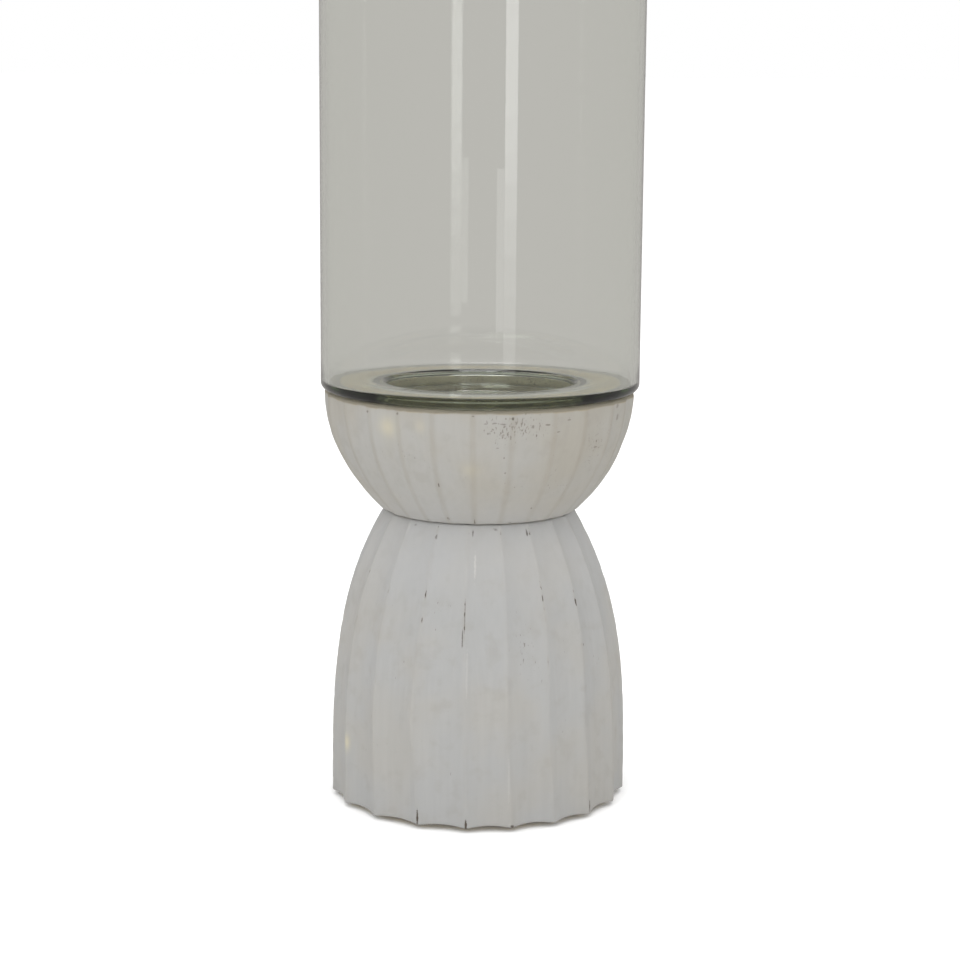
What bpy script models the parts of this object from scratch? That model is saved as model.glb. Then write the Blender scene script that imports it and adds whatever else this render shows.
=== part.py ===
"""Hurricane candle lantern: a glass cylinder standing on a carved, whitewashed wooden foot.

The foot is two turned and fluted blocks, a bell-shaped pedestal and a bowl, drawn together by a
bolt that runs up from the underside into a threaded insert in the bowl. The glass lifts off: a
boss under its floor drops into a recess in the bowl, on a loose cork disc. +Z is up, the front is
towards -Y, and the origin is on the axis, on the surface that the lantern stands on. Lengths are
in metres.
"""

import math

import bmesh
import bpy

MM = 0.001
GAP = 0.3 * MM  # air between pieces that rest on each other

# Pedestal: a bell that narrows as a power of its height.
PAD_HEIGHT = 2 * MM
PEDESTAL_HEIGHT = 136.5 * MM
PEDESTAL_RADIUS = 70.8 * MM
WAIST_RADIUS = 45.3 * MM
PEDESTAL_POWER = 3.24
PEDESTAL_FLUTES = 20
PEDESTAL_FLUTE_DEPTH = 2.5 * MM
PEDESTAL_ROWS = 12

# Bowl: the same kind of curve, measured down from its rim.
BOWL_HEIGHT = 56.5 * MM
BOWL_RADIUS = 73.3 * MM
BOWL_FOOT_RADIUS = 46.2 * MM
BOWL_POWER = 2.19
BOWL_FLUTES = 26
BOWL_FLUTE_DEPTH = 1.2 * MM
BOWL_ROWS = 9

FLUTE_STEPS = 4  # facets across one flute
EDGE_ROUND = 0.8 * MM

# Glass: a cylinder with a closed floor, dished a little and then stepped down into a boss.
GLASS_HEIGHT = 254.4 * MM
GLASS_RADIUS = 75 * MM
GLASS_WALL = 3 * MM
GLASS_FLOOR = 4 * MM
GLASS_HEEL = 3.5 * MM
BOSS_RADIUS = 49.5 * MM
BOSS_DEPTH = 9 * MM
DISH_RADIUS = 56 * MM
DISH_DEPTH = 0.6 * MM
WELL_RADIUS = 44 * MM
WELL_LIP = 2.5 * MM
CORNER_ROUND = 2 * MM
GLASS_SEGMENTS = 64

# Recess in the bowl that takes the boss, and the cork on its floor.
RECESS_RADIUS = 51 * MM
CORK_HEIGHT = 1.5 * MM
CORK_RADIUS = 50 * MM
RECESS_DEPTH = BOSS_DEPTH + CORK_HEIGHT + GAP

# Joint between the two blocks.
SPIGOT_RADIUS = 20 * MM
SPIGOT_HEIGHT = 8 * MM
COUNTERBORE_RADIUS = 15 * MM
COUNTERBORE_DEPTH = 22 * MM
BOLT_RADIUS = 4 * MM
BOLT_HEAD_ACROSS_CORNERS = 15 * MM
BOLT_HEAD_HEIGHT = 5.3 * MM
BOLT_HOLE_RADIUS = 4.6 * MM
BOLT_THREAD_PITCH = 1.25 * MM
BOLT_THREAD_DEPTH = 0.6 * MM
BOLT_THREAD_TURNS = 22
INSERT_LENGTH = 18 * MM
INSERT_RADIUS = 6.2 * MM
INSERT_RIB_DEPTH = 1 * MM
INSERT_RIBS = 5
WASHER_RADIUS = 12 * MM
WASHER_THICKNESS = 1.6 * MM
SPRING_WASHER_RADIUS = 7 * MM
SPRING_WASHER_THICKNESS = 2 * MM
SPRING_WASHER_SPLIT = 1.2 * MM
DOWEL_RADIUS = 4 * MM
DOWEL_HALF_LENGTH = 14 * MM
DOWEL_OFFSET = 31 * MM
FIT = 0.3 * MM  # radial air round what is let into a hole

# Foot pads.
PAD_RADIUS = 10 * MM
PAD_OFFSET = 50 * MM
PAD_COUNT = 4
PAD_FIRST_DEG = 45.0

PEDESTAL_TOP = PAD_HEIGHT + PEDESTAL_HEIGHT
BOWL_BOTTOM = PEDESTAL_TOP + GAP
BOWL_TOP = BOWL_BOTTOM + BOWL_HEIGHT
SPIGOT_BOTTOM = BOWL_BOTTOM - SPIGOT_HEIGHT
GLASS_BOTTOM = BOWL_TOP + GAP
GLASS_TOP = GLASS_BOTTOM + GLASS_HEIGHT
RECESS_FLOOR = BOWL_TOP - RECESS_DEPTH
BEARING_Z = PAD_HEIGHT + COUNTERBORE_DEPTH


def clear_scene():
    for obj in list(bpy.data.objects):
        bpy.data.objects.remove(obj)


def material(name, colour, roughness, metallic=0.0, transmission=0.0):
    made = bpy.data.materials.new(name)
    made.use_nodes = True
    shader = made.node_tree.nodes["Principled BSDF"]
    shader.inputs["Base Color"].default_value = (*colour, 1.0)
    shader.inputs["Roughness"].default_value = roughness
    shader.inputs["Metallic"].default_value = metallic
    shader.inputs["Transmission Weight"].default_value = transmission
    return made


def node(name, mesh_builder, finish=None):
    """Links a bmesh as an object, with smooth sides and sharp edges over 35 degrees."""
    mesh = bpy.data.meshes.new(name)
    bmesh.ops.recalc_face_normals(mesh_builder, faces=mesh_builder.faces)
    mesh_builder.to_mesh(mesh)
    mesh_builder.free()
    mesh.shade_smooth()
    mesh.set_sharp_from_angle(angle=math.radians(35))
    obj = bpy.data.objects.new(name, mesh)
    bpy.context.scene.collection.objects.link(obj)
    if finish:
        mesh.materials.append(finish)
    return obj


def scallop(turn, flutes):
    """0 on an arris and 1 in the middle of a flute, for a turn from 0 to 1 round the axis."""
    if not flutes:
        return 0.0
    across = (turn * flutes) % 1.0
    return 4 * across * (1 - across)


def turned(rows, segments, flutes=0):
    """A solid of revolution. Each row is (radius, z) or (radius, z, flute depth), and the path runs
    from the axis back to the axis, or round a closed section when no row is on the axis. Of the
    flutes, one has its middle at the front."""
    made = bmesh.new()
    first = math.pi / flutes if flutes else 0.0
    rings = []
    for row in rows:
        radius, z = row[:2]
        depth = row[2] if len(row) > 2 else 0.0
        if radius == 0:
            rings.append([made.verts.new((0, 0, z))])
            continue
        ring = []
        for step in range(segments):
            turn = step / segments
            angle = math.tau * turn + first
            r = radius - depth * scallop(turn, flutes)
            ring.append(made.verts.new((r * math.sin(angle), -r * math.cos(angle), z)))
        rings.append(ring)
    pairs = list(zip(rings, rings[1:]))
    if len(rings[0]) > 1:
        pairs.append((rings[-1], rings[0]))
    for low, high in pairs:
        for step in range(segments):
            after = (step + 1) % segments
            if len(low) == 1:
                made.faces.new((low[0], high[after], high[step]))
            elif len(high) == 1:
                made.faces.new((low[step], low[after], high[0]))
            else:
                made.faces.new((low[step], low[after], high[after], high[step]))
    return made


def arc(centre_r, centre_z, radius, start_deg, end_deg, steps=2):
    """Points of a round corner in the (radius, z) plane."""
    points = []
    for step in range(steps + 1):
        angle = math.radians(start_deg + (end_deg - start_deg) * step / steps)
        points.append((centre_r + radius * math.cos(angle), centre_z + radius * math.sin(angle)))
    return points


def cylinder(name, radius, low, high, x=0.0, y=0.0, segments=32, finish=None):
    obj = node(name, turned([(0, low), (radius, low), (radius, high), (0, high)], segments), finish)
    obj.location = (x, y, 0)
    return obj


def cut(target, name, radius, low, high, x=0.0, y=0.0, segments=32):
    """Bores a round hole in the target, from low to high."""
    cutter = cylinder(name, radius, low, high, x, y, segments)
    cutter.hide_render = True
    cutter.display_type = "WIRE"
    modifier = target.modifiers.new(name, "BOOLEAN")
    modifier.operation = "DIFFERENCE"
    modifier.object = cutter


def pedestal_radius(share):
    """Arris radius at a share of the pedestal's height."""
    return PEDESTAL_RADIUS - (PEDESTAL_RADIUS - WAIST_RADIUS) * share**PEDESTAL_POWER


def bowl_radius(share):
    """Arris radius at a share of the bowl's height, measured down from the rim."""
    return BOWL_RADIUS - (BOWL_RADIUS - BOWL_FOOT_RADIUS) * share**BOWL_POWER


def build_pedestal(wood):
    rows = [(0, PAD_HEIGHT)]
    rows.append((PEDESTAL_RADIUS - EDGE_ROUND, PAD_HEIGHT, PEDESTAL_FLUTE_DEPTH))
    for step in range(PEDESTAL_ROWS + 1):
        # Rows crowd towards the waist, where the outline bends.
        share = (step / PEDESTAL_ROWS) ** 0.75
        radius = pedestal_radius(share)
        depth = PEDESTAL_FLUTE_DEPTH * radius / PEDESTAL_RADIUS
        z = PAD_HEIGHT + EDGE_ROUND + (PEDESTAL_HEIGHT - EDGE_ROUND) * share
        rows.append((radius, z, depth))
    rows.append((0, PEDESTAL_TOP))
    segments = PEDESTAL_FLUTES * FLUTE_STEPS
    solid = turned(rows, segments, PEDESTAL_FLUTES)
    pedestal = node("wood_pedestal", solid, wood)

    over = 2 * MM
    socket_floor = SPIGOT_BOTTOM - GAP
    cut(pedestal, "cut_socket", SPIGOT_RADIUS + FIT, socket_floor, PEDESTAL_TOP + over)
    cut(pedestal, "cut_bolt_hole", BOLT_HOLE_RADIUS, 0, PEDESTAL_TOP + over)
    cut(pedestal, "cut_counterbore", COUNTERBORE_RADIUS, 0, BEARING_Z)
    for side in (-1, 1):
        low = PEDESTAL_TOP - DOWEL_HALF_LENGTH - GAP
        x = side * DOWEL_OFFSET
        cut(pedestal, "cut_dowel", DOWEL_RADIUS + FIT, low, PEDESTAL_TOP + over, x, segments=16)
    return pedestal


def build_bowl(wood):
    rows = [(0, SPIGOT_BOTTOM), (SPIGOT_RADIUS, SPIGOT_BOTTOM), (SPIGOT_RADIUS, BOWL_BOTTOM)]
    for step in range(BOWL_ROWS + 1):
        share = 1 - step / BOWL_ROWS
        radius = bowl_radius(share)
        depth = BOWL_FLUTE_DEPTH * radius / BOWL_RADIUS
        z = BOWL_TOP - EDGE_ROUND - (BOWL_HEIGHT - EDGE_ROUND) * share
        rows.append((radius, z, depth))
    rows.append((BOWL_RADIUS - EDGE_ROUND, BOWL_TOP, BOWL_FLUTE_DEPTH))
    rows.append((RECESS_RADIUS, BOWL_TOP))
    rows.append((RECESS_RADIUS, RECESS_FLOOR))
    rows.append((0, RECESS_FLOOR))
    segments = BOWL_FLUTES * FLUTE_STEPS
    bowl = node("wood_bowl", turned(rows, segments, BOWL_FLUTES), wood)

    under = SPIGOT_BOTTOM - 2 * MM
    insert_top = SPIGOT_BOTTOM + INSERT_LENGTH + 2 * GAP
    cut(bowl, "cut_insert", INSERT_RADIUS + FIT, under, insert_top)
    bolt_top = insert_top + 6 * MM
    cut(bowl, "cut_bolt_tip", BOLT_HOLE_RADIUS, under, bolt_top)
    for side in (-1, 1):
        top = BOWL_BOTTOM + DOWEL_HALF_LENGTH + GAP
        x = side * DOWEL_OFFSET
        cut(bowl, "cut_dowel", DOWEL_RADIUS + FIT, under, top, x, segments=16)
    return bowl


def build_glass(glass):
    bottom = GLASS_BOTTOM
    boss = bottom - BOSS_DEPTH
    floor = bottom + GLASS_FLOOR
    well = floor - BOSS_DEPTH
    inner = GLASS_RADIUS - GLASS_WALL
    rim = GLASS_WALL / 2
    corner = CORNER_ROUND
    rows = [(0, boss)]
    rows += arc(BOSS_RADIUS - corner, boss + corner, corner, -90, 0)
    rows.append((BOSS_RADIUS, bottom))
    rows += arc(GLASS_RADIUS - GLASS_HEEL, bottom + GLASS_HEEL, GLASS_HEEL, -90, 0, 3)
    rows += arc(GLASS_RADIUS - rim, GLASS_TOP - rim, rim, 0, 180, 4)
    rows += arc(inner - corner, floor + corner, corner, 0, -90)
    lip = floor - DISH_DEPTH
    middle = (DISH_RADIUS + WELL_RADIUS + WELL_LIP) / 2
    rows += [(DISH_RADIUS, floor), (middle, (floor + lip) / 2)]
    rows += [(WELL_RADIUS + WELL_LIP, lip), (WELL_RADIUS, lip - WELL_LIP)]
    rows += arc(WELL_RADIUS - corner, well + corner, corner, 0, -90)
    rows.append((0, well))
    return node("glass_hurricane", turned(rows, GLASS_SEGMENTS), glass)


def build_bolt(steel):
    """Hexagon-head bolt, head down in the counterbore, thread up in the insert."""
    seat = BEARING_Z - WASHER_THICKNESS - SPRING_WASHER_THICKNESS - 3 * GAP
    head = seat - BOLT_HEAD_HEIGHT
    tip = SPIGOT_BOTTOM + INSERT_LENGTH + 4 * MM
    thread_start = tip - BOLT_THREAD_TURNS * BOLT_THREAD_PITCH - 1 * MM
    root = BOLT_RADIUS - BOLT_THREAD_DEPTH
    rows = [(0, seat - 1 * MM), (BOLT_RADIUS, seat - 1 * MM), (BOLT_RADIUS, thread_start)]
    for turn in range(BOLT_THREAD_TURNS):
        z = thread_start + turn * BOLT_THREAD_PITCH
        rows += [(root, z + BOLT_THREAD_PITCH / 2), (BOLT_RADIUS, z + BOLT_THREAD_PITCH)]
    rows += [(root, tip), (0, tip)]
    bolt = node("clamp_bolt", turned(rows, 16), steel)

    hexagon = [(0, head), (BOLT_HEAD_ACROSS_CORNERS / 2, head)]
    hexagon += [(BOLT_HEAD_ACROSS_CORNERS / 2, seat), (0, seat)]
    bolt_head = node("bolt_head_blank", turned(hexagon, 6), steel)
    bolt_head.hide_render = True
    bolt_head.display_type = "WIRE"
    joined = bolt.modifiers.new("head", "BOOLEAN")
    joined.operation = "UNION"
    joined.object = bolt_head
    return bolt


def build_washers(steel):
    """Flat washer against the wood, with a split spring washer under it."""
    flat_top = BEARING_Z - GAP
    flat_bottom = flat_top - WASHER_THICKNESS
    hole = BOLT_RADIUS + FIT
    section = [(hole, flat_bottom), (WASHER_RADIUS, flat_bottom)]
    section += [(WASHER_RADIUS, flat_top), (hole, flat_top)]
    node("flat_washer", turned(section, 24), steel)

    top = flat_bottom - GAP
    bottom = top - SPRING_WASHER_THICKNESS
    section = [(hole, bottom), (SPRING_WASHER_RADIUS, bottom)]
    section += [(SPRING_WASHER_RADIUS, top), (hole, top)]
    washer = node("spring_washer", turned(section, 24), steel)
    slot = bmesh.new()
    bmesh.ops.create_cube(slot, size=1)
    cutter = node("cut_split", slot)
    cutter.scale = (SPRING_WASHER_SPLIT, SPRING_WASHER_RADIUS, 4 * SPRING_WASHER_THICKNESS)
    cutter.location = (0, -SPRING_WASHER_RADIUS + 1 * MM, (top + bottom) / 2)
    cutter.rotation_euler = (0, math.radians(15), 0)
    cutter.hide_render = True
    cutter.display_type = "WIRE"
    modifier = washer.modifiers.new("split", "BOOLEAN")
    modifier.operation = "DIFFERENCE"
    modifier.object = cutter


def build_insert(brass):
    """Ribbed threaded insert in the underside of the bowl."""
    low = SPIGOT_BOTTOM
    pitch = INSERT_LENGTH / INSERT_RIBS
    core = INSERT_RADIUS - INSERT_RIB_DEPTH
    hole = BOLT_RADIUS + FIT / 2
    rows = [(hole, low), (INSERT_RADIUS, low)]
    for rib in range(INSERT_RIBS):
        z = low + rib * pitch
        rows += [(INSERT_RADIUS, z + pitch * 0.25), (core, z + pitch * 0.5)]
        rows.append((core, z + pitch * 0.75))
        if rib < INSERT_RIBS - 1:
            rows.append((INSERT_RADIUS, z + pitch))
    rows += [(core, low + INSERT_LENGTH), (hole, low + INSERT_LENGTH)]
    return node("insert_nut", turned(rows, 24), brass)


def build_dowels(beech):
    for number, side in enumerate((-1, 1), start=1):
        low = PEDESTAL_TOP - DOWEL_HALF_LENGTH
        high = BOWL_BOTTOM + DOWEL_HALF_LENGTH
        chamfer = 1 * MM
        rows = [(0, low), (DOWEL_RADIUS - chamfer, low), (DOWEL_RADIUS, low + chamfer)]
        rows += [(DOWEL_RADIUS, high - chamfer), (DOWEL_RADIUS - chamfer, high), (0, high)]
        dowel = node(f"locating_dowel_{number}", turned(rows, 16), beech)
        dowel.location.x = side * DOWEL_OFFSET


def build_seat(cork):
    low = RECESS_FLOOR + GAP
    high = low + CORK_HEIGHT - GAP
    return cylinder("seat_cork", CORK_RADIUS, low, high, segments=48, finish=cork)


def build_pads(rubber):
    for index in range(PAD_COUNT):
        angle = math.radians(PAD_FIRST_DEG + 360 / PAD_COUNT * index)
        x = PAD_OFFSET * math.cos(angle)
        y = PAD_OFFSET * math.sin(angle)
        cylinder(f"foot_pad_{index + 1}", PAD_RADIUS, 0, PAD_HEIGHT - GAP, x, y, 24, rubber)


def main():
    clear_scene()
    whitewash = material("whitewashed_wood", (0.62, 0.61, 0.57), 0.8)
    beech = material("beech", (0.62, 0.44, 0.26), 0.6)
    glass = material("glass", (0.84, 0.84, 0.81), 0.02, transmission=1.0)
    steel = material("zinc_plated_steel", (0.62, 0.62, 0.60), 0.35, metallic=1.0)
    brass = material("brass", (0.70, 0.52, 0.22), 0.3, metallic=1.0)
    cork = material("cork", (0.30, 0.24, 0.15), 0.9)
    rubber = material("rubber", (0.03, 0.03, 0.03), 0.8)
    build_pedestal(whitewash)
    build_bowl(whitewash)
    build_glass(glass)
    build_seat(cork)
    build_bolt(steel)
    build_washers(steel)
    build_insert(brass)
    build_dowels(beech)
    build_pads(rubber)


main()
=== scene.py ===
"""The looks of the hurricane candle lantern: a clear glass cylinder on a carved, whitewashed foot.

Fine meshes stand for the two wooden blocks, the glass, the cork seat and the rubber pads. The bolt,
washers, insert and dowels keep their CAD shapes and get finishes. Lengths are in metres, +Z is up,
and the front is towards -Y.
"""

import math

import bmesh
import bpy
import numpy as np
from mathutils import Matrix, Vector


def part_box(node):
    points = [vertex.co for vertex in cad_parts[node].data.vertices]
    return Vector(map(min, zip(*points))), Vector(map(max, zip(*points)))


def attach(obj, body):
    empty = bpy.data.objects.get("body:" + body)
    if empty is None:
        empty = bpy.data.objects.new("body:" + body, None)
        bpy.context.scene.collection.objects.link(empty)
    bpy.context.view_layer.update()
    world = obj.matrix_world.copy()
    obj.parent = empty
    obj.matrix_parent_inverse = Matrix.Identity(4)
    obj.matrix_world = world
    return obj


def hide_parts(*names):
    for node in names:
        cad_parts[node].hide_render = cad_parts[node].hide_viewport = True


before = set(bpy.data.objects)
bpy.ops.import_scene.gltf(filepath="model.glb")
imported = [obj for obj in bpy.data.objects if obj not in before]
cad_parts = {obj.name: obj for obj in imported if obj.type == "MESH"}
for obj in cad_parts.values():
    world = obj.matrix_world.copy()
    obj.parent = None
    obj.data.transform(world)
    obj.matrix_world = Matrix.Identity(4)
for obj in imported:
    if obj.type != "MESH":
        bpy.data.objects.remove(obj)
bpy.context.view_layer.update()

MM = 0.001

# The wooden blocks' outlines, as part.py turns them.
PEDESTAL_RADIUS = 70.8 * MM
WAIST_RADIUS = 45.3 * MM
PEDESTAL_POWER = 3.24
PEDESTAL_FLUTES = 20
PEDESTAL_DEPTH = 2.5 * MM
BOWL_RADIUS = 73.3 * MM
BOWL_FOOT_RADIUS = 46.2 * MM
BOWL_POWER = 2.19
BOWL_FLUTES = 26
BOWL_DEPTH = 1.25 * MM

PEDESTAL_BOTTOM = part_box("wood_pedestal")[0].z
PEDESTAL_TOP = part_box("wood_pedestal")[1].z
SPIGOT_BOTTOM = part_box("wood_bowl")[0].z
BOWL_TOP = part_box("wood_bowl")[1].z
BOWL_BOTTOM = PEDESTAL_TOP + 0.3 * MM
RECESS_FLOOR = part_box("seat_cork")[0].z - 0.3 * MM

SPIGOT_RADIUS = 20 * MM
SOCKET_RADIUS = 20.3 * MM
COUNTERBORE_RADIUS = 15 * MM
COUNTERBORE_TOP = PEDESTAL_BOTTOM + 22 * MM
BOLT_HOLE_RADIUS = 4.6 * MM
INSERT_HOLE_RADIUS = 6.5 * MM
INSERT_HOLE_TOP = SPIGOT_BOTTOM + 18.6 * MM
RECESS_RADIUS = 51 * MM
BOSS_DEPTH = 9 * MM
FLOOR_TILT = 0.014  # radians, of the glass's floor, higher at the front

# The carving of both blocks. Shares are of a flute's depth or of the pitch between two arrises.
DEPTH_SPREAD = 0.16  # share by which the depth differs from flute to flute
DEPTH_WANDER = 0.10  # share by which it differs along a flute
PITCH_SPREAD = 0.06  # share by which an arris stands off its even place, where none is given below
SWAY = 0.012  # share by which an arris sways sideways on its way up
SWAY_HEIGHT = 55 * MM
WORN_ARRIS = 0.06  # share of the depth by which the arrises are worn round
BLUNT_DEPTH = 0.16 * MM
BLUNT_REACH = 0.7 * MM
DENT_DEPTH = 0.35 * MM
RUB_DEPTH = 0.28 * MM
TOOL_RIPPLE = 0.05 * MM
FOOT_LIFT = 0.8 * MM  # how far the pedestal's flutes are cut up into its underside
FOOT_LIFT_HEIGHT = 5 * MM  # and the height over which that fades out

# Where the bowl's side is pulled in: at its right, in radians round from the front.
PULLED_TURN = 1.5
PULLED_WIDTH = 0.6
PULLED_HEIGHT = 34 * MM
PULLED_REACH = 15 * MM

# Where the carver's tool strayed: how far each arris stands off its even place, in degrees. Arris 0
# is the one left of the front flute, and the numbers grow to the right. The pedestal's are given
# at three shares of its height, and the bowl's hold all the way up.
STRAY_AT = (0.0, 0.35, 0.72)
PEDESTAL_STRAY_DEG = {
    -4: (-1.5, -1.5, -1.5), -3: (-2.4, -2.5, -2.5), -2: (-0.7, -2.4, -2.5),
    -1: (1.4, -2.6, -0.6), 0: (1.5, 0.8, -0.2), 1: (0.6, -1.3, -0.5),
    2: (0.1, -2.8, -1.3), 3: (-0.9, -3.4, -1.4), 4: (-0.1, -1.5, -3.5),
}
BOWL_STRAYS = {-4: 1.8, -3: 2.0, -2: 1.1, -1: 0.3, 0: 0.9, 1: 1.1, 2: 3.3, 3: 2.7, 4: 4.0}
BOWL_STRAY_DEG = {arris: (degrees,) * len(STRAY_AT) for arris, degrees in BOWL_STRAYS.items()}

SHADED_RIM_RADIUS = 67 * MM  # outside this the bowl's bare top ring gets painted shade, under the glass
FAR_FROM_ARRIS = 9.0  # in mm, for the plain surfaces, which have no arris
FRONT_ARRISES = 4  # the arrises numbered up to this, left and right, carry only the rubs named below

# Paint rubbed through along the pedestal's arrises: (arris, from, to, strength), with heights in
# millimetres above the wood's underside.
PEDESTAL_RUBS = [
    (-3, 107, 112, 0.6), (-3, 86, 91, 0.6), (-3, 42, 46, 0.5),
    (-2, 101, 112, 0.5), (-2, 62, 66, 0.6),
    (-1, 101, 112, 0.9), (-1, 92, 97, 0.6), (-1, 50, 55, 0.4),
    (0, 86, 108, 0.8), (0, 132, 136, 0.6),
    (1, 130, 135, 0.7),
    (2, 93, 114, 0.9), (2, 72, 80, 0.7), (2, 131, 136, 0.8),
    (3, 95, 107, 0.9), (3, 79, 82, 0.8),
    (4, 115, 120, 0.8), (-1, 132, 136, 0.8),
]
BOWL_RUBS = [(-1, 0, 5, 0.9), (0, 0, 4, 0.8), (1, 22, 26, 0.6), (3, 30, 34, 0.5)]

# Single marks, as (degrees from the front, height in mm above the block's underside, half width in
# mm, half height in mm, strength): cracks and nicks that show dark wood, and painted highlights on
# arrises.
PEDESTAL_NICKS = [
    (-26.3, 3.6, 0.55, 4.4, 1.0), (-7.6, 1.8, 0.6, 2.6, 1.0), (9.9, 0.6, 1.0, 1.1, 0.9),
    (45.0, 3.2, 0.5, 4.0, 1.0), (-9.9, 88.0, 0.4, 4.5, 0.7), (-9.2, 97.0, 0.3, 9.0, 0.4),
    (44.3, 80.6, 0.5, 0.8, 0.7),
    (-27.3, 131.0, 0.7, 1.6, 0.6), (-6.9, 133.0, 0.5, 2.0, 0.7), (5.8, 134.6, 1.2, 0.7, 0.5),
    (24.3, 132.6, 0.5, 2.6, 0.8), (-43.3, 134.4, 1.0, 0.6, 0.4),
]
# The pedestal's chalk marks are painted highlights: glints along the arrises beside the front flute.
PEDESTAL_GLINTS = [(-5.3, 119.0, 0.6, 7.5, 0.6), (-7.8, 72.0, 0.5, 13.0, 0.25), (8.3, 22.0, 0.5, 12.0, 0.2)]
BOWL_NICKS = [
    (-1.5, 50.6, 1.0, 0.4, 0.35), (1.6, 50.9, 1.2, 0.35, 0.4), (4.9, 50.4, 1.0, 0.4, 0.45),
    (8.1, 53.0, 0.8, 0.9, 0.75), (12.8, 55.0, 0.5, 0.5, 0.6), (17.2, 44.7, 0.4, 0.8, 0.6),
    (-0.6, 46.2, 0.5, 0.6, 0.45), (5.5, 34.9, 0.45, 0.6, 0.45), (21.2, 49.5, 1.3, 0.45, 0.5),
    (6.4, 27.6, 0.45, 0.5, 0.4), (46.2, 36.3, 1.6, 0.4, 0.4), (-20.2, 21.0, 0.4, 1.2, 0.7),
    (22.5, 8.5, 0.5, 0.6, 0.5), (56.6, 54.0, 1.6, 1.2, 0.35), (57.4, 48.5, 1.2, 1.6, 0.35),
    (-47.3, 53.0, 0.8, 0.7, 0.5), (-33.6, 53.6, 0.6, 0.6, 0.5), (-5.9, 54.2, 0.8, 0.4, 0.45),
    (-19.8, 3.0, 0.5, 1.2, 0.6), (-33.0, 1.2, 0.9, 0.5, 0.4), (14.0, 0.9, 1.2, 0.5, 0.4),
    (30.0, 51.0, 1.2, 0.4, 0.4), (3.0, 39.5, 0.8, 0.35, 0.3), (25.5, 46.0, 1.0, 0.35, 0.4),
]
MARK_DEPTH = 40 * MM  # how far a mark reaches in and out, so that it meets the side at any radius

# Soft patches, as (degrees from the front, height in mm above the block's underside, half width
# in mm, half height in mm, strength): open pores, and old yellow paint.
PEDESTAL_PORES = [
    (16, 78, 7, 17, 1.0), (33, 45, 6, 14, 0.7), (-38, 70, 6, 16, 0.5),
    (52, 60, 7, 20, 0.6), (-20, 95, 5, 12, 0.5), (-50, 30, 6, 14, 0.5),
]
PEDESTAL_YELLOW = [(-64.6, 29.8, 1.8, 3.6, 0.9)]
BOWL_PORES = [(9, 49, 17, 7, 1.25), (46, 38, 9, 12, 1.0), (30, 20, 12, 9, 0.5), (-30, 36, 8, 12, 0.35)]
BOWL_YELLOW = [(-38.5, 47, 4.5, 4.5, 0.65), (-25, 48.5, 2.5, 3, 0.3), (-7, 29, 4, 3, 0.25)]

rng = np.random.default_rng(5)


# ---------------------------------------------------------------- meshes

def smooth_noise(values, scale, waves=5):
    """A seeded smooth wave of the values, about -1 to 1, that changes over about one scale."""
    total = np.zeros_like(values, dtype=float)
    for _ in range(waves):
        stretch = rng.uniform(0.5, 1.6)
        phase = rng.uniform(0, math.tau)
        total += np.sin(values / scale * stretch * 2.0 + phase)
    return total / waves * 1.5


def grid_piece(name, points, attributes=None):
    """A closed mesh from rings of points, shape (rings, columns, 3): the last ring joins the first,
    and points that meet on the axis become one."""
    rings, columns = points.shape[:2]
    index = np.arange(rings * columns).reshape(rings, columns)
    right = np.roll(index, -1, axis=1)
    up = np.roll(index, -1, axis=0)
    corner = np.roll(right, -1, axis=0)
    faces = np.stack([index, right, corner, up], axis=-1).reshape(-1, 4)
    mesh = bpy.data.meshes.new(name)
    mesh.from_pydata(points.reshape(-1, 3).tolist(), [], faces.tolist())
    for key, values in (attributes or {}).items():
        layer = mesh.attributes.new(key, "FLOAT", "POINT")
        layer.data.foreach_set("value", values.reshape(-1).astype(np.float32))
    builder = bmesh.new()
    builder.from_mesh(mesh)
    bmesh.ops.remove_doubles(builder, verts=builder.verts, dist=1e-6)
    bmesh.ops.dissolve_degenerate(builder, edges=builder.edges, dist=1e-7)
    bmesh.ops.recalc_face_normals(builder, faces=builder.faces)
    builder.to_mesh(mesh)
    builder.free()
    mesh.shade_smooth()
    piece = bpy.data.objects.new(name, mesh)
    bpy.context.scene.collection.objects.link(piece)
    return piece


def ring_points(radius, angles, z):
    """Points round the axis. Angle 0 is the front, and the angles grow to the right."""
    radius = np.broadcast_to(radius, angles.shape)
    z = np.broadcast_to(z, angles.shape)
    return np.stack([radius * np.sin(angles), -radius * np.cos(angles), z], axis=-1)


def turned_piece(name, outline, columns, shape=None):
    """A piece of revolution from (radius, z) points. shape(radius, angles, z) may bend a ring, and
    gives its radius and z."""
    angles = np.linspace(0, math.tau, columns, endpoint=False)
    rings = []
    for radius, z in outline:
        bent_radius, bent_z = shape(radius, angles, z) if shape else (radius, z)
        rings.append(ring_points(bent_radius, angles, bent_z))
    return grid_piece(name, np.array(rings))


def arc(centre_r, centre_z, radius, start_deg, end_deg, steps):
    """Points of a round corner in the (radius, z) plane."""
    turns = np.radians(np.linspace(start_deg, end_deg, steps + 1))
    return [(centre_r + radius * math.cos(a), centre_z + radius * math.sin(a)) for a in turns]


def sharpen(piece, degrees):
    """Stops the smooth shading at edges that turn by more than so many degrees."""
    piece.data.set_sharp_from_angle(angle=math.radians(degrees))


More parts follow.
